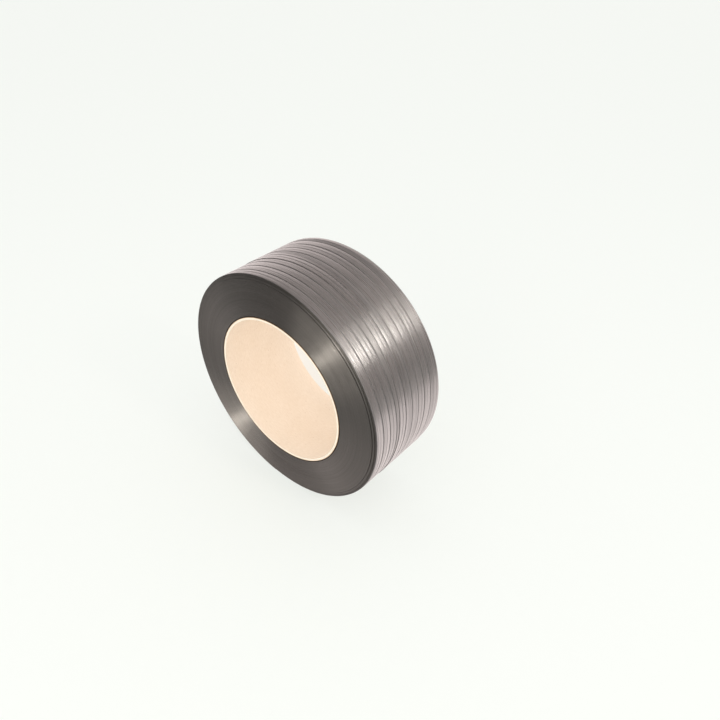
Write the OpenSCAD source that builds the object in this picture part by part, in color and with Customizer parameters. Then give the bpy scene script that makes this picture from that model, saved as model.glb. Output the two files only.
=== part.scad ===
// Roll of polypropylene strapping, wound in even layers on a cardboard core.
// The roll lies on its round side. Its axis runs along Y, and the origin is on the
// floor under the middle of the roll. Lengths are in millimetres.

/* [Strap] */
// Width of the strap
strap_w = 12; // [9:0.5:16]
// Thickness of the strap, which is also the rise of each layer
strap_t = 0.6; // [0.4:0.05:0.9]
// Width of the rounding along each edge of the strap
edge_run = 0.5; // [0.2:0.1:1.5]
// Height that the strap loses over that rounding
edge_drop = 0.15; // [0.05:0.05:0.3]

/* [Winding] */
// Turns that lie side by side in one layer
turns = 10; // [5:1:16]
// Gap between two neighbouring turns of a layer
turn_gap = 0.3; // [0.1:0.05:0.6]
// Depth of the groove that the gap leaves in the outer surface
groove_depth = 0.3; // [0.1:0.05:0.4]
// Layers wound one over the other
layers = 94; // [30:1:120]
// Depth of the valley between the edges of two layers, on both ends
edge_valley = 0.16; // [0.04:0.02:0.3]
// Most that the edge of one layer lies further in than the next
edge_scatter = 0.14; // [0:0.02:0.3]
// Layers in the outermost step of the rim; each step further in has twice as many
step_layers = 3; // [1:1:4]
// Number of steps by which the last layers draw in at the rim
rim_steps = 3; // [0:1:4]
// Distance that each of those steps draws in
step_depth = 0.35; // [0.1:0.05:0.6]

/* [Core] */
// Diameter of the bore
bore_d = 200; // [75:1:410]
// Thickness of the cardboard wall
core_wall = 3.5; // [2:0.5:8]
// Distance that the core stands out of the winding at each end; 0 is flush
core_proud = 0; // [0:0.5:8]
// Chamfer on the edges of the core
core_chamfer = 0.4; // [0.2:0.1:0.8]
// Play between the core and the first layer
core_play = 0.1; // [0.05:0.05:0.5]

/* [Hidden] */
turn_pitch = strap_w + turn_gap;
winding_w = turns * turn_pitch - turn_gap;
half_w = winding_w / 2;

bore_r = bore_d / 2;
core_r = bore_r + core_wall;
core_half = half_w + core_proud;

inner_r = core_r + core_play;
outer_r = inner_r + layers * strap_t;

// Turning step from layer to layer that spreads the scatter without a repeat
scatter_turn = 137.5;

strap_color = [0.33, 0.31, 0.30];
card_color = [0.94, 0.84, 0.72];
facets = 180;

// Steps that lie inside layer n, where layer 0 is the outermost one: the first step
// ends after step_layers layers, the next after twice as many, and so on.
function steps_over(n) =
    len([for (s = [0 : 1 : rim_steps - 1]) if (n < step_layers * pow(2, s)) s]);

// Distance by which layer k lies further in, between none and edge_scatter.
function scatter(k) = edge_scatter * (1 - cos(k * scatter_turn)) / 2;

// Distance from the middle of the roll to the edge of layer k, counted from the core.
function edge_at(k) =
    half_w - step_depth * steps_over(layers - 1 - k) - scatter(k);

// Radius at which layer k starts.
function layer_r(k) = inner_r + k * strap_t;

// One end, from the core outwards: each layer's edge is a crest between two valleys.
function end_profile() = [
    for (k = [0 : 1 : layers - 1])
        for (p = [
            [layer_r(k), edge_at(k) - edge_valley],
            [layer_r(k) + strap_t / 2, edge_at(k)],
        ]) p
];

// Outer surface of turn i: a flat band with a rounded edge on both sides.
function turn_profile(i) =
    let (
        low = max(-edge_at(layers - 1), -half_w + i * turn_pitch),
        high = min(edge_at(layers - 1), -half_w + i * turn_pitch + strap_w)
    ) [
        [outer_r - groove_depth, high],
        [outer_r - edge_drop, high],
        [outer_r, high - edge_run],
        [outer_r, low + edge_run],
        [outer_r - edge_drop, low],
        [outer_r - groove_depth, low],
    ];

// All turns of the outer surface, from the upper end to the lower one.
function outer_profile() = [
    for (i = [turns - 1 : -1 : 0])
        for (p = turn_profile(i)) p
];

function mirrored(points) = [
    for (n = [len(points) - 1 : -1 : 0]) [points[n].x, -points[n].y]
];

// Turns a profile about the roll's axis and lays the roll down on the floor.
module turned(points) {
    translate([0, 0, outer_r])
        rotate([90, 0, 0])
            rotate_extrude($fn = facets)
                polygon(points);
}

// The strap, as one solid with its layers on both ends and its turns outside.
module strap_winding() {
    color(strap_color)
        turned(concat(end_profile(), outer_profile(), mirrored(end_profile())));
}

// The cardboard tube, chamfered at its four edges.
module cardboard_core() {
    upper = [
        [bore_r, core_half - core_chamfer],
        [bore_r + core_chamfer, core_half],
        [core_r - core_chamfer, core_half],
        [core_r, core_half - core_chamfer],
    ];
    color(card_color)
        turned(concat(upper, mirrored(upper)));
}

strap_winding();
cardboard_core();
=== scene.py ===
"""A roll of polypropylene strapping on its cardboard core, dressed for a studio view.

The roll lies on its round side with its axis along Y. Lengths are in metres. A place on
the roll is given by its radius, its angle and its y: the angle is 0 straight up and grows
towards +X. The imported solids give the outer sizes, and the strap's own sizes are fields
of the classes below.
"""

import logging
import math
from dataclasses import dataclass
from enum import Enum

import bpy
import numpy as np
from mathutils import Matrix, Vector


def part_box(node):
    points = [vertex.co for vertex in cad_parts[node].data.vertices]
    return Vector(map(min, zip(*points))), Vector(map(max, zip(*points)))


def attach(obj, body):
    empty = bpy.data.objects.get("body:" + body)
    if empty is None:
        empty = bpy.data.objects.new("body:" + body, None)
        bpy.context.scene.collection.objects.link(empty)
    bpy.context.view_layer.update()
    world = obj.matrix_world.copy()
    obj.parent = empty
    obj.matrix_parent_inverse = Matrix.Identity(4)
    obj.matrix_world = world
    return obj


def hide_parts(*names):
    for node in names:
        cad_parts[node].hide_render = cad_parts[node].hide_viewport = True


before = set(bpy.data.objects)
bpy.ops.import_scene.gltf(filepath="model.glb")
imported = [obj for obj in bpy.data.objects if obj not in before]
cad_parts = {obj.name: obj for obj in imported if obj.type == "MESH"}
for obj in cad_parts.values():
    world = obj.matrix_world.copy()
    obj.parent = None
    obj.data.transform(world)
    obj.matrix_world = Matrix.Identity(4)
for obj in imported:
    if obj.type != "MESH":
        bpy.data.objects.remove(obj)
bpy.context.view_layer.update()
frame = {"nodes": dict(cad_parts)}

log = logging.getLogger("strapping_roll")

Colour = tuple[float, float, float, float]
Triple = tuple[float, float, float]
Pair = tuple[float, float]
Socket = bpy.types.NodeSocket

TURN = 2.0 * math.pi
MAP_NAME = "strap_uv"


# ---------------------------------------------------------------- shared helpers


def smooth_step(x: np.ndarray) -> np.ndarray:
    """Rises from 0 to 1 as x goes from 0 to 1, level at both ends: 3x^2 - 2x^3.

    Args:
        x: Any numbers; they are clipped to the range from 0 to 1.

    Returns:
        The eased numbers, in the shape of x.
    """
    x = np.clip(x, 0.0, 1.0)
    return x * x * (3.0 - 2.0 * x)


def tinted(colour: Colour, parts: Triple) -> Colour:
    """Multiplies each part of a colour, up to 1 at most.

    Args:
        colour: The colour with its alpha, which stays.
        parts: Factors for red, green and blue.

    Returns:
        The new colour.
    """
    red, green, blue = (min(part * factor, 1.0) for part, factor in zip(colour, parts))
    return (red, green, blue, colour[3])


@dataclass(frozen=True)
class Wave:
    """A smooth irregular wave: a sum of sines, divided by 1.6 times the root of their number.

    Attributes:
        count: How many sines are added.
        slowest: Lowest rate, in cycles per unit.
        fastest: Highest rate, in cycles per unit.
        seed: Seed of the random rates and phases.
        most: The divisor that keeps the wave within 1.
    """

    count: int
    slowest: float
    fastest: float
    seed: int
    most: float = 1.6

    def at(self, x: np.ndarray) -> np.ndarray:
        """Reads the wave.

        Args:
            x: Where the wave is read.

        Returns:
            The wave, nearly always between -1 and 1, in the shape of x.
        """
        rng = np.random.default_rng(self.seed)
        rate = rng.uniform(self.slowest, self.fastest, self.count)
        phase = rng.uniform(0.0, TURN, self.count)
        waves = np.sin(TURN * rate * x[..., None] + phase)
        return waves.sum(axis=-1) / (self.most * math.sqrt(self.count))


@dataclass(frozen=True)
class RollFrame:
    """The roll's outer sizes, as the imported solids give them.

    Attributes:
        axis_z: Height of the roll's axis above the floor.
        outer_r: Outer radius of the winding.
        half_w: Half the width of the winding.
        core_r: Outer radius of the core.
        core_half: Half the length of the core.
    """

    axis_z: float
    outer_r: float
    half_w: float
    core_r: float
    core_half: float

    @classmethod
    def from_solids(cls) -> "RollFrame":
        """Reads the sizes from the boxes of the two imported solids.

        Returns:
            The frame that every piece is built on.
        """
        low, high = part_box("strap_winding")
        core_low, core_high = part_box("cardboard_core")
        return cls(
            axis_z=(core_low[2] + core_high[2]) / 2.0,
            outer_r=(high[0] - low[0]) / 2.0,
            half_w=(high[1] - low[1]) / 2.0,
            core_r=(core_high[0] - core_low[0]) / 2.0,
            core_half=(core_high[1] - core_low[1]) / 2.0,
        )

    def places(self, r: np.ndarray, angle: np.ndarray, y: np.ndarray) -> np.ndarray:
        """Turns radius, angle and y into points: (r sin angle, y, axis_z + r cos angle)."""
        r, angle, y = np.broadcast_arrays(r, angle, y)
        return np.stack([r * np.sin(angle), y, self.axis_z + r * np.cos(angle)], axis=-1)


def run_along(x: np.ndarray, y: np.ndarray, way_back: float = 0.0) -> np.ndarray:
    """Length run at each point of a closed outline, for its map.

    Args:
        x: First coordinate of the points.
        y: Second coordinate of the points.
        way_back: Length written for the way from the last point back to the first.

    Returns:
        The lengths, from 0, with one more for the first point when it is reached again.
    """
    steps = np.hypot(np.diff(x), np.diff(y))
    return np.concatenate([[0.0], steps, [way_back]]).cumsum()


class Seam(Enum):
    """How the first direction of a grid of points ends."""

    OPEN = "open"
    JOINED = "joined"
    CAPPED = "capped"


@dataclass
class Surface:
    """A grid of points whose second direction is a closed loop, made into a mesh.

    Attributes:
        points: Array of rings by loop by 3.
        uv: Array of rings + 1 by loop + 1 by 2, with the first ones written again at the
            closing edges, so that the pattern runs on over them.
        seam: Whether the last ring joins the first one, gets a cap, or stays open.
        sharp_loops: Indices in the loop along which the shading breaks.
    """

    points: np.ndarray
    uv: np.ndarray
    seam: Seam
    sharp_loops: np.ndarray | None = None

    def quads(self) -> tuple[np.ndarray, np.ndarray]:
        """Numbers the corners of every cell of the grid.

        Returns:
            Two arrays of cells by 4: the corners' vertex numbers, and their numbers in
            the flattened uv grid.
        """
        rings, loop = self.points.shape[:2]
        rows = rings if self.seam is Seam.JOINED else rings - 1
        i, j = np.meshgrid(np.arange(rows), np.arange(loop), indexing="ij")
        i, j = i.ravel(), j.ravel()
        i2, j2 = (i + 1) % rings, (j + 1) % loop
        corners = np.stack([i * loop + j, i2 * loop + j, i2 * loop + j2, i * loop + j2], axis=1)
        wide = loop + 1
        uv_corners = np.stack(
            [i * wide + j, (i + 1) * wide + j, (i + 1) * wide + j + 1, i * wide + j + 1], axis=1
        )
        return corners, uv_corners

    def build(self, name: str) -> bpy.types.Object:
        """Makes the object, smooth apart from its sharp loops, with faces outwards.

        Args:
            name: Name of the object and its mesh.

        Returns:
            The linked object, at the origin.
        """
        rings, loop = self.points.shape[:2]
        corners, uv_corners = self.quads()
        flat_uv = self.uv.reshape(-1, 2)[uv_corners].reshape(-1, 2)
        faces = corners.tolist()
        if self.seam is Seam.CAPPED:
            first = np.arange(loop)
            last = (rings - 1) * loop + np.arange(loop)[::-1]
            faces += [first.tolist(), last.tolist()]
            cap_uv = self.uv[[0, -1], :loop].reshape(-1, 2)
            flat_uv = np.concatenate([flat_uv, cap_uv])
        mesh = bpy.data.meshes.new(name)
        mesh.from_pydata(self.points.reshape(-1, 3).tolist(), [], faces)
        layer = mesh.uv_layers.new(name=MAP_NAME)
        layer.data.foreach_set("uv", flat_uv.astype(np.float32).ravel())
        mesh.polygons.foreach_set("use_smooth", np.ones(len(faces), dtype=bool))
        if self.sharp_loops is not None:
            self.mark_sharp(mesh)
        mesh.validate()
        mesh.update()
        piece = bpy.data.objects.new(name, mesh)
        bpy.context.scene.collection.objects.link(piece)
        return piece

    def mark_sharp(self, mesh: bpy.types.Mesh) -> None:
        """Marks the edges that run along the sharp loops.

        Args:
            mesh: The mesh that build() has filled.
        """
        loop = self.points.shape[1]
        ends = np.empty(len(mesh.edges) * 2, dtype=np.int32)
        mesh.edges.foreach_get("vertices", ends)
        column = ends.reshape(-1, 2) % loop
        along = column[:, 0] == column[:, 1]
        sharp = along & np.isin(column[:, 0], self.sharp_loops)
        mesh.edges.foreach_set("use_edge_sharp", sharp)


# ---------------------------------------------------------------------- finishes


class Sketch:
    """A node graph, written as short calls."""

    def __init__(self, tree: bpy.types.NodeTree) -> None:
        """Starts on the node tree of a material or of the world."""
        self.tree = tree

    def node(self, kind: str, **settings: object) -> bpy.types.Node:
        """Adds a node and sets its properties.

        Args:
            kind: The node's type, without the ShaderNode prefix.
            **settings: Properties of the node.

        Returns:
            The node.
        """
        made = self.tree.nodes.new(f"ShaderNode{kind}")
        for key, value in settings.items():
            setattr(made, key, value)
        return made

    def feed(self, target: Socket, source: object) -> None:
        """Links a socket to another, or sets its value.

        Args:
            target: The input socket.
            source: An output socket, or a plain value.
        """
        if isinstance(source, Socket):
            self.tree.links.new(source, target)
        else:
            target.default_value = source

    def math(self, what: str, *inputs: object) -> Socket:
        """Adds a Math node, such as math("ADD", a, 0.5).

        Args:
            what: The operation.
            *inputs: Sockets or numbers.

        Returns:
            Its output.
        """
        made = self.node("Math", operation=what)
        for socket, source in zip(made.inputs, inputs):
            self.feed(socket, source)
        return made.outputs[0]

    def uv(self) -> tuple[Socket, Socket, Socket]:
        """Reads the piece's own map, whose unit is the metre.

        Returns:
            The vector, and its parts along and across the strap.
        """
        source = self.node("UVMap", uv_map=MAP_NAME).outputs[0]
        parts = self.node("SeparateXYZ")
        self.feed(parts.inputs[0], source)
        return source, parts.outputs[0], parts.outputs[1]

    def noise(self, vector: object, scale: Triple, detail: float, roughness: float) -> Socket:
        """Adds noise whose cells are 1 / scale long in each direction.

        Args:
            vector: The coordinates.
            scale: Cells per metre in each direction.
            detail: Finer layers of the noise.
            roughness: Weight of the finer layers.

        Returns:
            The noise, from 0 to 1.
        """
        mapping = self.node("Mapping")
        self.feed(mapping.inputs["Vector"], vector)
        self.feed(mapping.inputs["Scale"], scale)
        made = self.node("TexNoise")
        self.feed(made.inputs["Vector"], mapping.outputs[0])
        self.feed(made.inputs["Scale"], 1.0)
        self.feed(made.inputs["Detail"], detail)
        self.feed(made.inputs["Roughness"], roughness)
        return made.outputs["Fac"]

    def remap(self, value: object, low: float, high: float, to_low: float, to_high: float) -> Socket:
        """Maps a value from one range onto another, clipped at its ends.

        Args:
            value: The value to map.
            low: Start of its range.
            high: End of its range.
            to_low: Result at the start.
            to_high: Result at the end.

        Returns:
            The mapped value.
        """
        made = self.node("MapRange")
        for key, number in (("Value", value), ("From Min", low), ("From Max", high),
                            ("To Min", to_low), ("To Max", to_high)):
            self.feed(made.inputs[key], number)
        return made.outputs[0]

    def blend(self, factor: object, first: object, second: object) -> Socket:
        """Mixes two colours.

        Args:
            factor: Share of the second colour.
            first: The first colour.
            second: The second colour.

        Returns:
            The mixed colour.
        """
        made = self.node("Mix", data_type="RGBA")
        self.feed(made.inputs["Factor"], factor)
        self.feed(made.inputs[6], first)
        self.feed(made.inputs[7], second)
        return made.outputs[2]

    def bump(self, height: object, distance: float, strength: float,
             under: Socket | None = None) -> Socket:
        """Adds relief from a height between 0 and 1.

        Args:
            height: The height.
            distance: The relief's depth in metres.
            strength: Share of the relief that shows.
            under: A coarser relief that this one lies on.

        Returns:
            The bumped normal.
        """
        made = self.node("Bump")
        self.feed(made.inputs["Strength"], strength)
        self.feed(made.inputs["Distance"], distance)
        self.feed(made.inputs["Height"], height)
        if under is not None:
            self.feed(made.inputs["Normal"], under)
        return made.outputs[0]


class Finish(Sketch):
    """The node graph of a material with one principled shader."""

    def __init__(self, name: str) -> None:
        """Makes the material.

        Args:
            name: Name of the material.
        """
        self.material = bpy.data.materials.new(name)
        self.material.use_nodes = True
        super().__init__(self.material.node_tree)
        self.shader = self.tree.nodes["Principled BSDF"]

    def set(self, **values: object) -> None:
        """Sets or links the shader's inputs, named with _ for a space."""
        for key, source in values.items():
            self.feed(self.shader.inputs[key.replace("_", " ")], source)

    def draw_lengthwise(self, stretch: float) -> None:
        """Stretches the gloss across the strap, from 0 to 1, as lines drawn along it do."""
        tangent = self.node("Tangent", direction_type="UV_MAP", uv_map=MAP_NAME)
        self.set(Tangent=tangent.outputs[0], Anisotropic=stretch, Anisotropic_Rotation=0.25)


@dataclass(frozen=True)
class Pattern:
    """A noise on a surface, and what its values are turned into.

    Attributes:
        cells: Cells per metre in each direction.
        detail: Finer layers of the noise.
        roughness: Weight of the finer layers.
        reach: Values of the noise from which and up to which it counts.
        shares: What these two values are turned into.
    """

    cells: Triple
    detail: float = 3.0
    roughness: float = 0.5
    reach: Pair = (0.3, 0.7)
    shares: Pair = (0.0, 1.0)

    def noise(self, k: Sketch, where: Socket) -> Socket:
        """Adds the plain noise to graph k, read at the coordinates, from 0 to 1."""
        return k.noise(where, self.cells, self.detail, self.roughness)

    def cover(self, k: Sketch, noise: Socket) -> Socket:
        """Turns the noise, or a value made from it, into the share of a tone that shows."""
        return k.remap(noise, *self.reach, *self.shares)

    def over(self, k: Sketch, where: Socket) -> Socket:
        """Does both: adds the noise to graph k and turns it into such a share."""
        return self.cover(k, self.noise(k, where))


@dataclass(frozen=True)
class Charcoal:
    """A finish in the strap's charcoal, which is a little warm.

    Attributes:
        level: Linear brightness of the plain surface's red part.
        warm: Green and blue, as shares of the red.
    """

    level: float
    warm: Pair = (0.85, 0.80)

    def shade(self, share: float) -> Colour:
        """The charcoal at a share of its level, where over 1 is paler than the plain surface."""
        red = self.level * share
        return (red, red * self.warm[0], red * self.warm[1], 1.0)


@dataclass(frozen=True)
class StrapFinish(Charcoal):
    """Broad faces of the strap: satin charcoal, drawn lengthwise and finely embossed.

    Shades are shares of the level. A relief is its depth in metres and the share that shows.

    Attributes:
        level: Brightness of the plain surface.
        index: Refractive index, which sets the strength of the gloss.
        rough: Roughness of the dullest and the glossiest drawn line.
        rough_reach: Values of the drawn lines' noise that stand for these two.
        stretch: How far the gloss is stretched across the strap.
        lines: The drawn lines.
        line_shades: Shades of the darkest and the palest drawn line.
        line_relief: Relief of the drawn lines.
        bands: The broader bands.
        band_shade: Shade of a dark band.
        band_relief: Relief of the bands and of the crease.
        scores: The scores, in the distance of their noise from its middle value.
        worn: The worn patches, by the place on the roll.
        worn_shade: Shade of a worn patch.
        dark_shade: Tone of the painted shade in the margins and the crease, and of the scores.
        dark_rough: Roughness that these have on top.
        middle: Place of the strap's middle in the map, from its left edge.
        margin: Where the painted shade of the gaps starts and is full, as shares of the way to the
            edge.
        margin_breakup: How much of the margin's painted shade is left from place to place.
        crease: Distances from the middle at which the fine crease starts to fade and ends.
        crease_breakup: How much of the crease and its painted shade is left from place to place.
        crown_relief: Relief of the strap's middle over its margins.
        knurl_pitch: Distance between two knurls of the embossing.
        knurl_level: Height, of 1, at which the knurls and the hollows are cut off level.
        knurl_relief: Relief of the embossing.
    """

    level: float = 0.150
    index: float = 3.1
    rough: Pair = (0.32, 0.22)
    rough_reach: Pair = (0.2, 0.8)
    stretch: float = 0.8
    lines: Pattern = Pattern((9.0, 1500.0, 1.0), 4.0, 0.65, reach=(0.25, 0.75))
    line_shades: Pair = (0.60, 1.50)
    line_relief: Pair = (0.00005, 0.6)
    bands: Pattern = Pattern((1.2, 420.0, 1.0), 3.0, 0.6, reach=(0.38, 0.62), shares=(0.0, 0.8))
    band_shade: float = 0.45
    band_relief: Pair = (0.0001, 0.8)
    scores: Pattern = Pattern((0.35, 230.0, 1.0), 1.0, reach=(0.0, 0.035), shares=(0.6, 0.0))
    worn: Pattern = Pattern((28.0, 28.0, 28.0), 5.0, reach=(0.45, 0.75), shares=(0.0, 0.22))
    worn_shade: float = 1.8
    dark_shade: float = 0.10
    dark_rough: float = 0.5
    middle: float = 0.0062
    margin: Pair = (0.80, 0.93)
    margin_breakup: Pattern = Pattern((5.0, 90.0, 1.0), reach=(0.35, 0.65), shares=(0.8, 1.0))
    crease: Pair = (0.00045, 0.0009)
    crease_breakup: Pattern = Pattern((5.0, 90.0, 1.0), reach=(0.40, 0.60), shares=(0.75, 0.2))
    crown_relief: Pair = (0.00015, 1.0)
    knurl_pitch: float = 0.0016
    knurl_level: float = 0.6
    knurl_relief: Pair = (0.00003, 0.55)

    def knurls(self, k: Finish) -> Socket:
        """The embossing: the product of two sines that run across each other at 90 degrees.

        Args:
            k: The graph to add it to.

        Returns:
            Its height, from 0 to 1.
        """
        _, along, across = k.uv()
        turn = TURN / self.knurl_pitch
        one = k.math("SINE", k.math("MULTIPLY", k.math("ADD", along, across), turn))
        two = k.math("SINE", k.math("MULTIPLY", k.math("SUBTRACT", along, across), turn))
        return k.remap(k.math("MULTIPLY", one, two), -self.knurl_level, self.knurl_level, 0.0, 1.0)

    def material(self) -> bpy.types.Material:
        """Builds the material.

        Returns:
            The material.
        """
        k = Finish("strap_face")
        where, _, across = k.uv()
        lines = self.lines.noise(k, where)
        bands = self.bands.noise(k, where)
        worn = self.worn.over(k, k.node("TexCoord").outputs["Object"])
        tone = k.blend(self.lines.cover(k, lines), *map(self.shade, self.line_shades))
        tone = k.blend(self.bands.cover(k, bands), tone, self.shade(self.band_shade))
        tone = k.blend(worn, tone, self.shade(self.worn_shade))
        off_score = k.math("ABSOLUTE", k.math("SUBTRACT", self.scores.noise(k, where), 0.5))
        off_middle = k.math("ABSOLUTE", k.math("SUBTRACT", across, self.middle))
        outwards = k.math("DIVIDE", off_middle, self.middle)
        # Painted shade: the strap's margins darken where the gap between neighbouring turns lies.
        margin = k.remap(outwards, *self.margin, 0.0, 1.0)
        margin = k.math("MULTIPLY", margin, self.margin_breakup.over(k, where))
        # Painted shade in the fine crease down the strap's middle, which also gets a relief below.
        crease = k.remap(off_middle, *self.crease, 1.0, 0.0)
        crease = k.math("MULTIPLY", crease, self.crease_breakup.over(k, where))
        dark = k.math("MAXIMUM", k.math("MAXIMUM", margin, crease), self.scores.cover(k, off_score))
        # The dark tone carries the painted shade of margins and crease, and the dark score lines.
        tone = k.blend(dark, tone, self.shade(self.dark_shade))
        relief = k.bump(self.knurls(k), *self.knurl_relief)
        crown = k.math("SUBTRACT", 1.0, k.math("POWER", outwards, 2.0))
        for height, size in ((crown, self.crown_relief),
                             (k.math("SUBTRACT", 1.0, crease), self.band_relief),
                             (bands, self.band_relief), (lines, self.line_relief)):
            relief = k.bump(height, *size, relief)
        rough = k.remap(lines, *self.rough_reach, *self.rough)
        k.set(Base_Color=tone, Normal=relief, IOR=self.index,
              Roughness=k.math("ADD", rough, k.math("MULTIPLY", dark, self.dark_rough)))
        k.draw_lengthwise(self.stretch)
        return k.material


@dataclass(frozen=True)
class LayerEdgeFinish(Charcoal):
    """The strap's edges side by side on the ends: darker, each layer a thin ring.

    Shades are shares of the level. A relief is its depth in metres and the share that shows.

    Attributes:
        level: Brightness of the plain surface.
        index: Refractive index, which sets the strength of the gloss.
        gloss: Tint of the gloss.
        stretch: How far the gloss is stretched across the rings.
        rings: The layers' rings, 0.7 cells to the thickness of the strap.
        ring_shades: Shades of the darkest and the palest ring.
        ring_relief: Relief of the rings.
        zones: Zones of a like tone, some layers wide.
        zone_shade: Shade of a dark zone.
        zone_relief: Relief of the zones.
        zone_weight: Weight of the zones in the roughness; the rest is the rings'.
        rough: Roughness of the smoothest and the roughest place.
        rough_reach: Values of the weighted noise that stand for these two.
    """

    level: float = 0.010
    index: float = 2.4
    gloss: Colour = (1.0, 0.97, 0.91, 1.0)
    stretch: float = 0.85
    rings: Pattern = Pattern((0.5, 0.7 / 0.0006, 1.0), 2.0, 0.6)
    ring_shades: Pair = (0.50, 1.70)
    ring_relief: Pair = (0.00014, 0.9)
    zones: Pattern = Pattern((0.4, 260.0, 1.0), reach=(0.38, 0.62), shares=(0.0, 0.8))
    zone_shade: float = 0.35
    zone_relief: Pair = (0.0001, 0.9)
    zone_weight: float = 0.6
    rough: Pair = (0.31, 0.46)
    rough_reach: Pair = (0.40, 0.60)

    def material(self) -> bpy.types.Material:
        """Builds the material.

        Returns:
            The material.
        """
        k = Finish("strap_edges")
        where = k.uv()[0]
        rings = self.rings.noise(k, where)
        zones = self.zones.noise(k, where)
        tone = k.blend(self.rings.cover(k, rings), *map(self.shade, self.ring_shades))
        tone = k.blend(self.zones.cover(k, zones), tone, self.shade(self.zone_shade))
        relief = k.bump(rings, *self.ring_relief, k.bump(zones, *self.zone_relief))
        mean = k.math("ADD", k.math("MULTIPLY", zones, self.zone_weight),
                      k.math("MULTIPLY", rings, 1.0 - self.zone_weight))
        k.set(Base_Color=tone, Normal=relief, IOR=self.index, Specular_Tint=self.gloss,
              Roughness=k.remap(mean, *self.rough_reach, *self.rough))
        k.draw_lengthwise(self.stretch)
        return k.material


@dataclass(frozen=True)
class BoardFinish:
    """Smooth kraft board with fibres, clouds and specks, and pale cut ends.

    A relief is its depth in metres and the share that shows.

    Attributes:
        kraft: Colour of the wall.
        fibres: The fibres of the wall.
        fibre_tints: Tints of the darkest and the palest fibres.
        fibre_relief: Relief of the fibres.
        clouds: The darker clouds of the wall.
        cloud_tint: Their tint.
        specks: The specks of the wall.
        speck_tint: Their tint.
        rough: Roughness of the dullest and the smoothest place of the wall.
        liner_gap_shade: The outer wall's brown, darkened as painted shade between core and winding.
        liner_tint: Tint of its darker fibres.
        liner_rough: Its roughness.
        cut: Colour of the cut ends, where the plies show.
        ply: Colour of the outermost ply on the cut ends.
        plies: The lines of the plies on the cut ends.
        ply_tint: Tint of the darker lines.
        fuzz: The fuzz of the cut ends.
        fuzz_relief: Its relief.
        cut_rough: Roughness of the cut ends.
    """

    kraft: Colour = (0.93, 0.80, 0.66, 1.0)
    fibres: Pattern = Pattern((160.0, 700.0, 1.0), 5.0, 0.6)
    fibre_tints: tuple[Triple, Triple] = ((0.94, 0.92, 0.89), (1.05, 1.06, 1.08))
    fibre_relief: Pair = (0.00008, 0.5)
    clouds: Pattern = Pattern((26.0, 34.0, 1.0), 4.0, reach=(0.35, 0.7), shares=(0.0, 0.35))
    cloud_tint: Triple = (0.93, 0.90, 0.86)
    specks: Pattern = Pattern((420.0, 520.0, 1.0), 1.0, reach=(0.69, 0.76), shares=(0.0, 0.5))
    speck_tint: Triple = (0.62, 0.52, 0.42)
    rough: Pair = (0.82, 0.68)
    # Far darker than the liner paper's own brown: painted shade between core and winding.
    liner_gap_shade: Colour = (0.10, 0.06, 0.03, 1.0)
    liner_tint: Triple = (0.85, 0.82, 0.80)
    liner_rough: float = 0.75
    cut: Colour = (0.91, 0.85, 0.73, 1.0)
    ply: Colour = (0.84, 0.64, 0.44, 1.0)
    plies: Pattern = Pattern((12.0, 2600.0, 1.0), reach=(0.35, 0.65))
    ply_tint: Triple = (0.90, 0.86, 0.80)
    fuzz: Pattern = Pattern((900.0, 900.0, 1.0))
    fuzz_relief: Pair = (0.00015, 0.6)
    cut_rough: float = 0.85

    def wall(self) -> bpy.types.Material:
        """Builds the material of the wall.

        Returns:
            The material.
        """
        k = Finish("kraft_wall")
        where = k.uv()[0]
        fibres = self.fibres.noise(k, where)
        dark, pale = (tinted(self.kraft, tint) for tint in self.fibre_tints)
        tone = k.blend(self.fibres.cover(k, fibres), dark, pale)
        tone = k.blend(self.clouds.over(k, where), tone, tinted(self.kraft, self.cloud_tint))
        tone = k.blend(self.specks.over(k, where), tone, tinted(self.kraft, self.speck_tint))
        k.set(Base_Color=tone, Normal=k.bump(fibres, *self.fibre_relief),
              Roughness=k.remap(fibres, *self.fibres.reach, *self.rough))
        return k.material

    def outside(self) -> bpy.types.Material:
        """Builds the outer wall's material: its liner, darkened as painted shade between core and
        winding.

        Returns:
            The material.
        """
        k = Finish("kraft_liner_gap_shade")
        fibres = self.fibres.noise(k, k.uv()[0])
        tone = k.blend(self.fibres.cover(k, fibres), tinted(self.liner_gap_shade, self.liner_tint), self.liner_gap_shade)
        k.set(Base_Color=tone, Normal=k.bump(fibres, *self.fibre_relief), Roughness=self.liner_rough)
        return k.material

    def ends(self, name: str, colour: Colour) -> bpy.types.Material:
        """Builds the material of the cut ends.

        Args:
            name: Name of the material.
            colour: Colour of the plies.

        Returns:
            The material.
        """
        k = Finish(name)
        where = k.uv()[0]
        tone = k.blend(self.plies.over(k, where), tinted(colour, self.ply_tint), colour)
        k.set(Base_Color=tone, Normal=k.bump(self.fuzz.noise(k, where), *self.fuzz_relief),
              Roughness=self.cut_rough)
        return k.material


# ------------------------------------------------------------------------ pieces


@dataclass
class Strap:
    """Sizes of the strap itself, shared by the winding's pieces.

    Attributes:
        width: Width of the strap.
        thick: Its thickness, which is the rise of each layer.
        gap: Gap between two neighbouring turns.
        turns: Turns side by side in one layer.
    """

    width: float = 0.0119
    thick: float = 0.0006
    gap: float = 0.0004
    turns: int = 10

    @property
    def pitch(self) -> float:
        """Distance from one turn to the next."""
        return self.width + self.gap


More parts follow.
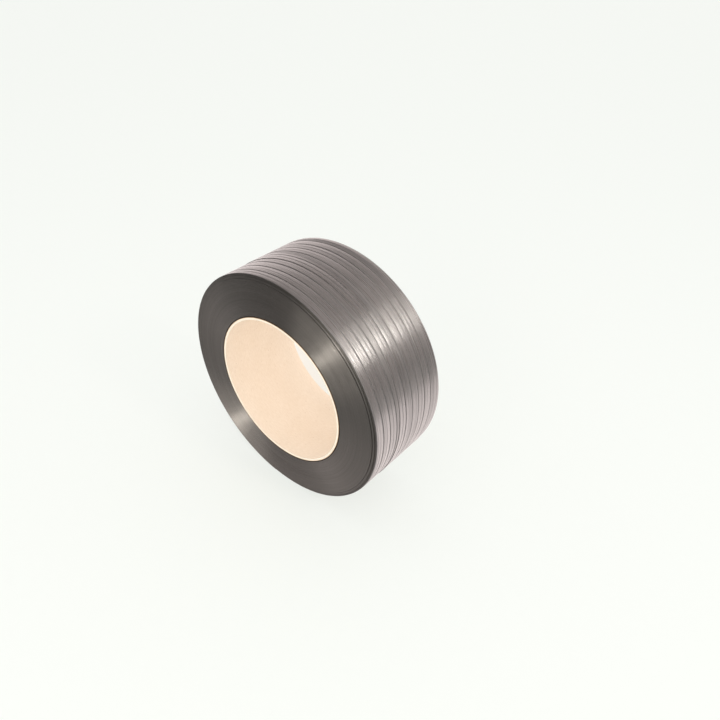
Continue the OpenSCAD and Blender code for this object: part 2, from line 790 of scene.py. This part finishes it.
@dataclass
class WoundBody:
    """The winding below its outermost layers, as one turned solid with ringed ends.

    Attributes:
        frame: The roll's outer sizes.
        strap: The strap's sizes.
        top_layers: Layers that OuterTurns lays on this body.
        clear: Gap between this body and those layers.
        valley: Depth of the valley between two layers' edges.
        crest: Where the crest of a layer's edge starts and ends, as shares of its thickness.
        scatter: Most that one layer's edge lies further in than another's.
        scatter_turn: Turning step from layer to layer that spreads the scatter.
        wander: Most that an edge strays on its way round.
        step_layers: Layers to the end of the rim's outermost step; each next one doubles them.
        rim_steps: Number of steps by which the last layers draw in.
        step_depth: Distance that each step draws in.
        sunk: How much deeper the innermost layer of each step lies at most.
        sunk_at: Angle at which it lies deepest.
        sunk_fade: Mean and swing of the fade from there, before smooth_step.
        first_sunk: How much deeper the first two layers on the core lie.
        band_round: Width of the rounding along the edges of the outer bands.
        band_drop: Height that a band loses over it.
        map_r: Radius at which the map's lengths are true, as a share of the outer one.
        around: Cells round the roll.
        seed: Seed of the edges' paths; the back end has the next one.
    """

    frame: RollFrame
    strap: Strap
    top_layers: int = 2
    clear: float = 0.00002
    valley: float = 0.00016
    crest: Pair = (0.28, 0.72)
    scatter: float = 0.00014
    scatter_turn: float = math.radians(137.5)
    wander: float = 0.00008
    step_layers: int = 3
    rim_steps: int = 3
    step_depth: float = 0.00035
    sunk: float = 0.0008
    sunk_at: float = math.radians(105.0)
    sunk_fade: Pair = (0.40, 0.75)
    first_sunk: float = 0.0022
    band_round: float = 0.0003
    band_drop: float = 0.00025
    map_r: float = 0.83
    around: int = 168
    seed: int = 11

    @property
    def layers(self) -> int:
        """Number of layers in all, the outermost ones included."""
        return round((self.frame.outer_r - self.frame.core_r) / self.strap.thick)

    @property
    def step_ends(self) -> np.ndarray:
        """Layers from the outside to the end of each step of the rim: 3, 6 and 12."""
        return self.step_layers * 2 ** np.arange(self.rim_steps)

    def edge_set_back(self, layer: np.ndarray) -> np.ndarray:
        """How far a layer's edge lies inside the plane of the end.

        It is step_depth for each step that the layer lies in, and a scatter of its own,
        scatter * (1 - cos(scatter_turn * layer)) / 2.

        Args:
            layer: The layers' numbers, from the core.

        Returns:
            The distances.
        """
        outside = self.layers - 1 - layer
        steps = (outside[:, None] < self.step_ends).sum(axis=1)
        own = self.scatter * (1.0 - np.cos(self.scatter_turn * layer)) / 2.0
        return steps * self.step_depth + own

    def furrows(self, layer: np.ndarray, angle: np.ndarray) -> np.ndarray:
        """How much deeper some layers lie: two next to the core and some at the rim.

        At the rim it is the innermost layer of each step. It is deepest at one angle and
        fades out on the way round, as smooth_step(mean + swing * cos(angle - sunk_at)).

        Args:
            layer: The layers' numbers, from the core.
            angle: Angles round the roll.

        Returns:
            The depths, of angles by layers.
        """
        chosen = np.isin(self.layers - 1 - layer, self.step_ends - 1)
        mean, swing = self.sunk_fade
        fade = smooth_step(mean + swing * np.cos(angle - self.sunk_at))
        return self.sunk * fade[:, None] * chosen + self.first_sunk * (layer < 2)

    def strays(self, count: int, angle: np.ndarray, seed: int) -> np.ndarray:
        """How the layers' edges stray: for each the mean of three sines of 1 to 4 cycles.

        Args:
            count: Number of layers.
            angle: Angles round the roll.
            seed: Seed of the random cycles and phases.

        Returns:
            Numbers between -1 and 1, of angles by layers.
        """
        rng = np.random.default_rng(seed)
        rate = rng.integers(1, 5, (3, count))
        phase = rng.uniform(0.0, TURN, (3, count))
        return np.sin(rate[:, None] * angle[None, :, None] + phase[:, None]).mean(axis=0)

    def end_rings(self, side: float, seed: int) -> tuple[np.ndarray, np.ndarray]:
        """One end: every layer has a valley and a crest, which stray slowly on the way round.

        Args:
            side: -1 for the front end and 1 for the back end.
            seed: Seed of the crests' paths.

        Returns:
            Radius and y, each of angles by points, from the core outwards.
        """
        s, f = self.strap, self.frame
        layer = np.arange(self.layers - self.top_layers)
        inner = f.outer_r - self.layers * s.thick
        angle = np.linspace(0.0, TURN, self.around, endpoint=False)
        crest_y = f.half_w - self.edge_set_back(layer) - self.furrows(layer, angle)
        crest_y = crest_y - self.wander * (1.0 + self.strays(layer.size, angle, seed)) / 2.0
        start = np.broadcast_to(inner + layer * s.thick, crest_y.shape)
        low, high = self.crest
        radius = np.stack([start, start + s.thick * low, start + s.thick * high], axis=-1)
        y = np.stack([crest_y - self.valley, crest_y, crest_y], axis=-1)
        return radius.reshape(self.around, -1), side * y.reshape(self.around, -1)

    def bands(self, front_y: float, back_y: float) -> tuple[np.ndarray, np.ndarray]:
        """The outer bands: one for each turn, with a bevel along both edges.

        Args:
            front_y: Where the first band starts.
            back_y: Where the last band ends.

        Returns:
            Radius and y of the points, from the front end to the back end.
        """
        f, s = self.frame, self.strap
        low = -f.half_w + s.pitch * np.arange(s.turns)
        high = low + s.width
        low[0], high[-1] = front_y, back_y
        y = np.stack([low, low + self.band_round, high - self.band_round, high], axis=-1)
        top = f.outer_r - self.top_layers * s.thick - self.clear
        drop = np.tile([self.band_drop, 0.0, 0.0, self.band_drop], s.turns)
        return top - drop, y.ravel()

    def build(self, face: bpy.types.Material) -> bpy.types.Object:
        """Joins both ends by the outer bands and the bore into one closed solid.

        Args:
            face: Finish of the strap's broad face, for the bands.

        Returns:
            The dressed piece.
        """
        f = self.frame
        r_front, y_front = self.end_rings(-1.0, self.seed)
        r_back, y_back = self.end_rings(1.0, self.seed + 1)
        bands_r, bands_y = self.bands(y_front[0, -1], y_back[0, -1])
        ones = np.ones((self.around, 1))
        radius = np.concatenate([r_front, ones * bands_r, r_back[:, ::-1]], axis=1)
        y = np.concatenate([y_front, ones * bands_y, y_back[:, ::-1]], axis=1)
        angle = np.linspace(0.0, TURN, self.around, endpoint=False)[:, None]
        across = run_along(radius[0], y[0])[None]
        along = np.linspace(0.0, TURN, self.around + 1)[:, None] * f.outer_r * self.map_r
        uv = np.stack(np.broadcast_arrays(along, across), axis=-1)
        loops = np.arange(radius.shape[1])
        surface = Surface(f.places(radius, angle, y), uv, Seam.JOINED, sharp_loops=loops)
        piece = surface.build("wound_layers")
        piece.data.materials.append(LayerEdgeFinish().material())
        piece.data.materials.append(face)
        first = r_front.shape[1]
        is_band = (loops >= first) & (loops < first + bands_r.size - 1)
        material = np.tile(is_band.astype(np.int32), self.around)
        piece.data.polygons.foreach_set("material_index", material)
        return piece


@dataclass(frozen=True)
class Crossing:
    """How a turn moves over to the next place: evenly, and more so in one stretch.

    Attributes:
        share: Share of the pitch that is covered in the stretch.
        middle: Middle of the stretch, as a share of the turn.
        length: Length of the stretch, as a share of the turn.
    """

    share: float
    middle: float
    length: float

    def pitches(self, turns: np.ndarray) -> np.ndarray:
        """Pitches covered since the start: whole turns, plus the part of this one.

        The part is (1 - share) u + share * smooth_step((u - middle) / length + 1/2),
        where u is the share of the turn that has passed.

        Args:
            turns: Turns since the start.

        Returns:
            The number of pitches.
        """
        whole = np.floor(turns)
        passed = turns - whole
        stretch = smooth_step((passed - self.middle) / self.length + 0.5)
        return whole + (1.0 - self.share) * passed + self.share * stretch


@dataclass
class OuterTurns:
    """The two outermost layers: one strap that runs out, turns back and ends.

    The lower layer runs nearly parallel to the ends and crosses over on the hidden side.
    The upper one comes back at a slant, so that the two layers cross at a small angle.

    Attributes:
        frame: The roll's outer sizes.
        strap: The strap's sizes.
        inset: How far the outer turns lie inside the planes of the ends.
        start: Angle at which the lower layer starts at the front end.
        out: How the lower layer crosses over from turn to turn.
        back: How the upper layer does.
        last_turns: Turns of the upper layer, which ends on the hidden side.
        rise: Share of a turn in which the strap climbs onto the next layer.
        droop: Height by which the strap falls towards its edges.
        droop_run: Width over which it falls.
        lean: Most that a turn leans to one side, as a slope.
        lean_wave: How the lean changes from turn to turn.
        sway: Most that a turn strays sideways.
        sway_wave: How it strays.
        ripple: Height of the ripples along the strap.
        ripple_wave: How they follow each other.
        slack: Room under the outer radius for the lean.
        clear: Least distance from the outer radius.
        dip: Depth by which the strap sinks over a gap of the layer under it.
        dip_width: Half the width of that dip.
        flat_points: Points across the level part of the strap.
        per_turn: Cells along one turn.
    """

    frame: RollFrame
    strap: Strap
    inset: float = 0.0006
    start: float = math.radians(185.0)
    out: Crossing = Crossing(share=0.88, middle=0.91, length=0.18)
    back: Crossing = Crossing(share=0.80, middle=0.72, length=0.50)
    last_turns: float = 5.92
    rise: float = 0.09
    droop: float = 0.00016
    droop_run: float = 0.0014
    lean: float = 0.012
    lean_wave: Wave = Wave(5, 0.35, 1.7, 21)
    sway: float = 0.000128
    sway_wave: Wave = Wave(4, 0.8, 3.0, 22)
    ripple: float = 0.00003
    ripple_wave: Wave = Wave(6, 12.0, 30.0, 23)
    slack: float = 0.00006
    clear: float = 0.00001
    dip: float = 0.00008
    dip_width: float = 0.0007
    flat_points: int = 9
    per_turn: int = 280

    @property
    def pitch(self) -> float:
        """Distance from one turn to the next, between the two insets."""
        return (2.0 * (self.frame.half_w - self.inset) - self.strap.width) / (self.strap.turns - 1.0)

    def section(self) -> tuple[np.ndarray, np.ndarray]:
        """The strap's section: flat faces joined by half-round edges.

        Towards both edges its top falls by droop times the square of the share of
        droop_run that is past.

        Returns:
            Place across the strap, and height from its underside, of each point of the
            closed outline, starting at the left edge and running over the top.
        """
        s = self.strap
        round_r = s.thick / 2.0
        flat = s.width / 2.0 - round_r
        level = flat - self.droop_run
        fall = self.droop_run * np.linspace(1.0, 0.25, 3)
        middle = np.linspace(-level, level, self.flat_points)
        top = np.concatenate([-level - fall, middle, level + fall[::-1]])
        under = np.linspace(flat, -flat, 3)
        edge = np.radians([180.0, 140.0])
        left_x, left_h = -flat + round_r * np.cos(edge), round_r + round_r * np.sin(edge)
        x = np.concatenate([left_x, top, -left_x[::-1], under])
        h = np.concatenate([left_h, np.full_like(top, s.thick), left_h[::-1], np.zeros_like(under)])
        past = np.clip((np.abs(x) - level) / self.droop_run, 0.0, 1.2)
        return x, h - self.droop * past**2 * np.clip(h / s.thick, 0.0, 1.0)

    def path_y(self, turns: np.ndarray) -> np.ndarray:
        """Place along the axis: out to the last place, one turn there, then back.

        Args:
            turns: Turns since the start.

        Returns:
            The y of the strap's middle.
        """
        s, f = self.strap, self.frame
        last = s.turns - 1.0
        out = np.minimum(self.out.pitches(turns), last)
        back = self.back.pitches(np.maximum(turns - s.turns, 0.0))
        return -f.half_w + self.inset + s.width / 2.0 + self.pitch * (out - back)

    def layer_rise(self, turns: np.ndarray) -> np.ndarray:
        """Rise of the strap in layers: from -1 to 0 at the start, and to 1 before the way back."""
        top = self.strap.turns - self.rise
        return smooth_step(turns / self.rise) - 1.0 + smooth_step((turns - top) / self.rise)

    def gap_under(self, y: np.ndarray, turns: np.ndarray) -> np.ndarray:
        """How deep the upper layer sinks over the gaps of the lower one.

        It is dip * exp(-(d / dip_width) squared), where d is the way to the nearest gap.

        Args:
            y: Place along the axis of every point.
            turns: Turns since the start of every point.

        Returns:
            The depth.
        """
        s, f = self.strap, self.frame
        shift = self.out.pitches(turns - np.floor(turns))
        cell = (y + f.half_w - self.inset) / self.pitch - shift
        off = (cell - np.round(cell)) * self.pitch
        return np.where(turns > s.turns, self.dip, 0.0) * np.exp(-((off / self.dip_width) ** 2))

    def build(self, face: bpy.types.Material) -> bpy.types.Object:
        """Carries the section along the path, with its lean, sway and ripples.

        Args:
            face: Finish of the strap's broad face.

        Returns:
            The dressed piece.
        """
        s, f = self.strap, self.frame
        total = s.turns + self.last_turns
        count = round(total * self.per_turn) + 1
        turns = np.linspace(0.0, total, count)[:, None]
        across, height = (part[None] for part in self.section())
        y = self.path_y(turns) + across
        lean = self.lean * self.lean_wave.at(turns)
        sway = self.sway * self.sway_wave.at(turns)
        ripple = self.ripple * (self.ripple_wave.at(turns) - 1.0)
        under = f.outer_r - 2.0 * s.thick + s.thick * self.layer_rise(turns) - self.slack
        upper = np.clip(height / s.thick, 0.0, 1.0)
        radius = under + height + ripple + lean * across - upper * self.gap_under(y, turns)
        radius = np.minimum(radius, f.outer_r - self.clear)
        points = f.places(radius, self.start + TURN * turns, y + sway)
        length = (TURN * f.outer_r) * np.append(turns, turns[-1] + 1.0 / self.per_turn)[:, None]
        wide = run_along(across[0], height[0], way_back=s.width / 2.0)[None]
        uv = np.stack(np.broadcast_arrays(length, wide), axis=-1)
        piece = Surface(points, uv, Seam.CAPPED).build("outer_turns")
        piece.data.materials.append(face)
        return piece


@dataclass
class Core:
    """The cardboard tube: smooth walls, softened edges and a spiral seam in the bore.

    Attributes:
        frame: The roll's outer sizes.
        wall: Thickness of the board.
        soft: Radius of the softened edges.
        ply: Thickness of the darker outermost ply, with the softened edge.
        seam_pitch: Way along the axis of one turn of the spiral seam.
        seam_depth: Depth of the seam.
        seam_width: Half the width of the seam.
        cut_slope: A face belongs to a cut end if its normal's part along Y is over this.
        bore_points: Points from one end of the bore to the other.
        around: Cells round the tube.
    """

    frame: RollFrame
    wall: float = 0.0035
    soft: float = 0.0004
    ply: float = 0.0010
    seam_pitch: float = 0.154
    seam_depth: float = 0.00012
    seam_width: float = 0.0012
    cut_slope: float = 0.6
    bore_points: int = 97
    around: int = 320

    def outline(self) -> tuple[np.ndarray, np.ndarray]:
        """The wall's section: through the bore, round one end, along the outside and back.

        Its four edges are quarter circles of the radius soft.

        Returns:
            Radius and y of the points of the closed outline.
        """
        f, soft = self.frame, self.soft
        outer, inner, end = f.core_r, f.core_r - self.wall, f.core_half
        quarter = np.radians([22.5, 45.0, 67.5])
        falling, rising = soft * (1.0 - np.sin(quarter)), soft * (1.0 - np.cos(quarter))
        cut = np.array([inner + soft, outer - self.ply, outer - soft])
        bore_y = np.linspace(-end + soft, end - soft, self.bore_points)
        radius = [
            np.full_like(bore_y, inner), inner + rising, cut, outer - falling, [outer, outer],
            outer - falling[::-1], cut[::-1], inner + rising[::-1],
        ]
        y = [
            bore_y, end - falling, np.full_like(cut, end), end - rising, [end - soft, soft - end],
            rising[::-1] - end, np.full_like(cut, -end), falling[::-1] - end,
        ]
        return np.concatenate(radius), np.concatenate(y)

    def build(self) -> bpy.types.Object:
        """Turns the outline, with the seam pressed into the wall of the bore.

        The seam is a bell, seam_depth * exp(-(d / seam_width) squared), where d is the way
        along the axis to the nearest turn of a helix.

        Returns:
            The dressed piece.
        """
        radius, y = self.outline()
        along = np.linspace(0.0, TURN, self.around + 1)[:, None] * self.frame.core_r
        uv = np.stack(np.broadcast_arrays(along, run_along(radius, y)[None]), axis=-1)
        angle = np.linspace(0.0, TURN, self.around, endpoint=False)[:, None]
        cell = y / self.seam_pitch - angle / TURN
        off = (cell - np.round(cell)) * self.seam_pitch
        is_bore = np.arange(radius.size) < self.bore_points
        groove = self.seam_depth * np.exp(-((off / self.seam_width) ** 2)) * is_bore
        points = self.frame.places(radius + groove, -angle, y)
        piece = Surface(points, uv, Seam.JOINED).build("core_tube")
        board = BoardFinish()
        for finish in (board.wall(), board.ends("kraft_cut", board.cut),
                       board.ends("kraft_ply", board.ply), board.outside()):
            piece.data.materials.append(finish)
        self.dress(piece)
        return piece

    def dress(self, piece: bpy.types.Object) -> None:
        """Gives the cut ends, their outermost ply and the outer wall their own materials.

        Args:
            piece: The tube.
        """
        mesh = piece.data
        normals = np.empty(len(mesh.polygons) * 3, dtype=np.float32)
        middles = np.empty_like(normals)
        mesh.polygons.foreach_get("normal", normals)
        mesh.polygons.foreach_get("center", middles)
        middles = middles.reshape(-1, 3)
        is_cut = np.abs(normals.reshape(-1, 3)[:, 1]) > self.cut_slope
        inside = self.frame.core_r - np.hypot(middles[:, 0], middles[:, 2] - self.frame.axis_z)
        kinds = [inside < self.soft, is_cut & (inside < self.ply), is_cut]
        mesh.polygons.foreach_set("material_index", np.select(kinds, [3, 2, 1]).astype(np.int32))


# ------------------------------------------------------------------------ studio


class Backdrop(Enum):
    """Colours that a ray of light meets beyond the roll.

    SEEN is the world as the camera sees it and SOFT as diffuse rays do. Rays of reflection
    meet PALE on the bright wall and the bright sheet, ROOM in the rest of the world and DIM
    on the rest of the floor. FLOOR is the floor's own glow to the camera, and BOUNCE the
    glow of its patch in the light that the board throws back.
    """

    SEEN = (0.95, 0.98, 0.945, 1.0)
    SOFT = (0.94, 0.94, 0.94, 1.0)
    PALE = (1.70, 1.496, 1.462, 1.0)
    ROOM = (0.22, 0.197, 0.188, 1.0)
    DIM = (0.08, 0.07, 0.065, 1.0)
    FLOOR = (0.630, 0.654, 0.620, 1.0)
    BOUNCE = (0.680, 0.628, 0.550, 1.0)


@dataclass(frozen=True)
class Lamp:
    """A soft box that looks at the middle of the roll.

    Attributes:
        name: Name of the lamp.
        angle: Direction round the roll's axis, in degrees from straight up towards +X.
        along: How far its direction leans towards +Y, in degrees.
        distance: Distance from the roll.
        size: Size of the box round the roll's axis and along it.
        level: Light that it gives a white surface that faces it, where 1 is white.
        glints: Whether it shows only as a reflection.
        colour: Colour of the light.
    """

    name: str
    angle: float
    along: float
    distance: float
    size: Pair
    level: float
    glints: bool = False
    colour: Triple = (1.0, 0.93, 0.86)

    def hang(self, target: Vector) -> bpy.types.Object:
        """Hangs the lamp and turns it to the target.

        Args:
            target: The point that it looks at.

        Returns:
            The lamp.
        """
        a, b = math.radians(self.angle), math.radians(self.along)
        way = Vector((math.sin(a) * math.cos(b), math.sin(b), math.cos(a) * math.cos(b)))
        round_way = Vector((math.cos(a), 0.0, -math.sin(a)))
        data = bpy.data.lights.new(self.name, "AREA")
        data.shape = "RECTANGLE"
        data.size, data.size_y = self.size
        data.energy = self.level * (math.pi * self.distance) ** 2
        data.color = self.colour
        lamp = bpy.data.objects.new(self.name, data)
        lamp.visible_diffuse = not self.glints
        turned = Matrix((round_way, way.cross(round_way), way)).transposed()
        lamp.matrix_world = Matrix.Translation(target + way * self.distance) @ turned.to_4x4()
        bpy.context.scene.collection.objects.link(lamp)
        return lamp


@dataclass
class Viewpoint:
    """The camera.

    Attributes:
        frame: The roll's outer sizes.
        azimuth: Direction that the camera looks in, in degrees from +Y towards -X.
        elevation: How far it looks down, in degrees.
        stand: Camera's place from the middle of the front end, in outer radii.
        sensor: Width of the sensor in mm.
        lens: Focal length in mm.
        shift: Shift of the lens.
    """

    frame: RollFrame
    azimuth: float = 43.107
    elevation: float = 40.065
    stand: Triple = (2.6361, -2.3814, 3.1201)
    sensor: float = 36.0
    lens: float = 29.75
    shift: Pair = (0.0624, 0.0253)

    def build(self) -> None:
        """Puts up the camera."""
        f = self.frame
        a, e = math.radians(self.azimuth), math.radians(self.elevation)
        way = Vector((-math.sin(a) * math.cos(e), math.cos(a) * math.cos(e), -math.sin(e)))
        data = bpy.data.cameras.new("camera")
        data.sensor_width, data.lens = self.sensor, self.lens
        data.shift_x, data.shift_y = self.shift
        camera = bpy.data.objects.new("camera", data)
        front_middle = Vector((0.0, -f.half_w, f.axis_z))
        camera.location = front_middle + Vector(self.stand) * f.outer_r
        camera.rotation_mode = "QUATERNION"
        camera.rotation_quaternion = way.to_track_quat("-Z", "Y")
        bpy.context.scene.collection.objects.link(camera)
        bpy.context.scene.camera = camera


@dataclass
class PaperFloor:
    """A pale matt floor that keeps the roll's shadow.

    In reflections it is a bright sheet under and behind the roll, with a dim rest. Ranges
    are pairs of where something starts and where it is full, in metres.

    Attributes:
        half: Half the floor's length.
        sheet_lean: Slant of the sheet's far side: it ends at a value of x + sheet_lean * y.
        sheet_edge: That value, with the sheet's soft edge on both sides of it.
        sheet_soft: Half the width of that edge.
        fade: Value at which the sheet starts to darken towards its far side.
        fade_to: Its brightness there, as a share.
        behind: Range of y over which the sheet brightens under the roll.
        front: Range of y over which it brightens before the roll.
        front_share: How bright it gets there.
        front_x: Middle of the sheet's part before the roll.
        front_sides: Range, to both sides of that middle, over which it darkens.
        side_share: Its brightness beyond that range, as a share.
        glow: Share of the floor's light to the camera that is its own, without shadow.
        papers: Darkest and palest colour of the paper.
        grain: The paper's grain.
        patch: Middle of the patch that the board lights.
        patch_range: Distances from it over which that light fades out.
    """

    half: float = 12.0
    sheet_lean: float = 0.8
    sheet_edge: float = 0.90
    sheet_soft: float = 0.015
    fade: float = 0.20
    fade_to: float = 0.50
    behind: Pair = (-0.06, 0.03)
    front: Pair = (-0.27, -0.03)
    front_share: float = 0.85
    front_x: float = -0.17
    front_sides: Pair = (0.09, 0.26)
    side_share: float = 0.40
    glow: float = 0.68
    papers: tuple[Colour, Colour] = ((0.86, 0.865, 0.855, 1.0), (0.88, 0.885, 0.875, 1.0))
    grain: Pattern = Pattern((60.0, 60.0, 60.0))
    patch: Triple = (-0.15, 0.14, 0.0)
    patch_range: Pair = (0.04, 0.16)

    def sheet(self, k: Finish, where: Socket) -> Socket:
        """The floor's colour in reflections: PALE on the sheet, and DIM elsewhere.

        Args:
            k: The graph to add it to.
            where: Place on the floor.

        Returns:
            The colour.
        """
        parts = k.node("SeparateXYZ")
        k.feed(parts.inputs[0], where)
        x, y = parts.outputs[0], parts.outputs[1]
        slant = k.math("ADD", x, k.math("MULTIPLY", y, self.sheet_lean))
        edge = self.sheet_edge
        on_sheet = k.remap(slant, edge - self.sheet_soft, edge + self.sheet_soft, 1.0, 0.0)
        far = k.remap(slant, self.fade, edge, 1.0, self.fade_to)
        aside = k.math("ABSOLUTE", k.math("SUBTRACT", x, self.front_x))
        front = k.math("MULTIPLY", k.remap(y, *self.front, 0.0, self.front_share),
                       k.remap(aside, *self.front_sides, 1.0, self.side_share))
        near = k.math("MAXIMUM", k.remap(y, *self.behind, 0.0, 1.0), front)
        share = k.math("MULTIPLY", k.math("MULTIPLY", on_sheet, near), far)
        return k.blend(share, Backdrop.DIM.value, Backdrop.PALE.value)

    def seen(self, k: Finish, where: Socket) -> Socket:
        """The floor's own glow to the camera, warmer on the patch that the board lights.

        Args:
            k: The graph to add it to.
            where: Place on the floor.

        Returns:
            The colour.
        """
        gap = k.node("VectorMath", operation="DISTANCE")
        k.feed(gap.inputs[0], where)
        k.feed(gap.inputs[1], self.patch)
        warm = k.remap(gap.outputs["Value"], *self.patch_range, 1.0, 0.0)
        return k.blend(warm, Backdrop.FLOOR.value, Backdrop.BOUNCE.value)

    def material(self) -> bpy.types.Material:
        """Builds the material: plain paper to the lamps, and with a glow to the camera.

        Returns:
            The material.
        """
        k = Finish("floor_paper")
        rays = k.node("LightPath")
        mirrored = rays.outputs["Is Glossy Ray"]
        direct = k.math("MAXIMUM", rays.outputs["Is Camera Ray"], mirrored)
        where = k.node("TexCoord").outputs["Object"]
        tone = k.blend(self.grain.noise(k, where), *self.papers)
        tone = k.blend(k.math("MULTIPLY", direct, self.glow), tone, (0.0, 0.0, 0.0, 1.0))
        glow = k.blend(mirrored, self.seen(k, where), self.sheet(k, where))
        k.set(Base_Color=tone, Roughness=0.9, Emission_Color=glow, Emission_Strength=direct)
        return k.material

    def build(self) -> None:
        """Lays the floor."""
        half = self.half
        corners = [(-half, -half, 0.0), (half, -half, 0.0), (half, half, 0.0), (-half, half, 0.0)]
        mesh = bpy.data.meshes.new("floor")
        mesh.from_pydata(corners, [], [(0, 1, 2, 3)])
        mesh.materials.append(self.material())
        floor = bpy.data.objects.new("floor", mesh)
        bpy.context.scene.collection.objects.link(floor)


@dataclass
class LitRoom:
    """The world: even light for matt surfaces, and a room to see in the gloss.

    In reflections it is grey, with a bright wall low on its -X and +Y side. The wall is
    where the dot product of the ray's direction with toward passes through the range.

    Attributes:
        toward: The wall's direction and weight.
        wall: Range of the dot product from no wall to full wall.
    """

    toward: Triple = (-1.0, 2.3, -1.455)
    wall: Pair = (0.97, 1.73)

    def build(self) -> None:
        """Sets up the world."""
        world = bpy.data.worlds.new("studio")
        bpy.context.scene.world = world
        world.use_nodes = True
        k = Sketch(world.node_tree)
        rays = k.node("LightPath")
        slope = k.node("VectorMath", operation="DOT_PRODUCT")
        k.feed(slope.inputs[0], k.node("TexCoord").outputs["Generated"])
        k.feed(slope.inputs[1], self.toward)
        on_wall = k.remap(slope.outputs["Value"], *self.wall, 0.0, 1.0)
        colour = k.blend(on_wall, Backdrop.ROOM.value, Backdrop.PALE.value)
        colour = k.blend(rays.outputs["Is Diffuse Ray"], colour, Backdrop.SOFT.value)
        colour = k.blend(rays.outputs["Is Camera Ray"], colour, Backdrop.SEEN.value)
        back = k.tree.nodes["Background"]
        k.feed(back.inputs["Color"], colour)
        k.feed(back.inputs["Strength"], 1.0)


@dataclass
class Studio:
    """Everything round the roll: camera, floor, world and lamps.

    Attributes:
        frame: The roll's outer sizes.
        lamps: The soft boxes. The first five show only as reflections: one streak and its
            glow on the round side, and one streak, its glow and a faint veil on the end.
    """

    frame: RollFrame
    lamps: tuple[Lamp, ...] = (
        Lamp("streak_box", 52.5, 28.0, 1.8, (0.32, 0.45), 0.095, glints=True),
        Lamp("glow_box", 44.0, 32.0, 1.8, (0.75, 0.60), 0.11, glints=True),
        Lamp("front_box", 37.0, -60.0, 1.8, (0.04, 0.35), 0.33, glints=True),
        Lamp("side_box", 35.0, -63.0, 1.8, (0.45, 0.35), 0.10, glints=True),
        Lamp("veil_box", 37.0, -56.0, 1.8, (3.20, 0.60), 0.30, glints=True),
        Lamp("wide_box", 35.0, -60.0, 1.8, (2.20, 0.50), 0.27),
        Lamp("bore_box", 51.0, 3.5, 1.8, (0.30, 0.16), 0.12),
        Lamp("eye_box", 40.0, -34.0, 2.0, (0.5, 0.8), 0.05),
    )

    def build(self) -> None:
        """Sets up everything round the roll."""
        Viewpoint(self.frame).build()
        PaperFloor().build()
        LitRoom().build()
        middle = Vector((0.0, 0.0, self.frame.axis_z))
        for lamp in self.lamps:
            lamp.hang(middle)
        bpy.context.scene.view_settings.view_transform = "Standard"


# -------------------------------------------------------------------------- main


def report(piece: bpy.types.Object, node: str) -> None:
    """Hands a finished piece to the frame and logs it.

    Args:
        piece: The finished piece.
        node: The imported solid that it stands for.
    """
    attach(piece, "root")
    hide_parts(node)
    mesh = piece.data
    triangles = sum(len(face.vertices) - 2 for face in mesh.polygons)
    log.info("%s stands for %s with %d triangles", piece.name, node, triangles)


def main() -> None:
    """Builds the roll and its surroundings."""
    logging.basicConfig(level=logging.INFO, format="%(name)s: %(message)s")
    roll = RollFrame.from_solids()
    strap = Strap()
    face = StrapFinish().material()
    report(WoundBody(roll, strap).build(face), "strap_winding")
    report(OuterTurns(roll, strap).build(face), "strap_winding")
    report(Core(roll).build(), "cardboard_core")
    Studio(roll).build()


if __name__ == "__main__":
    main()
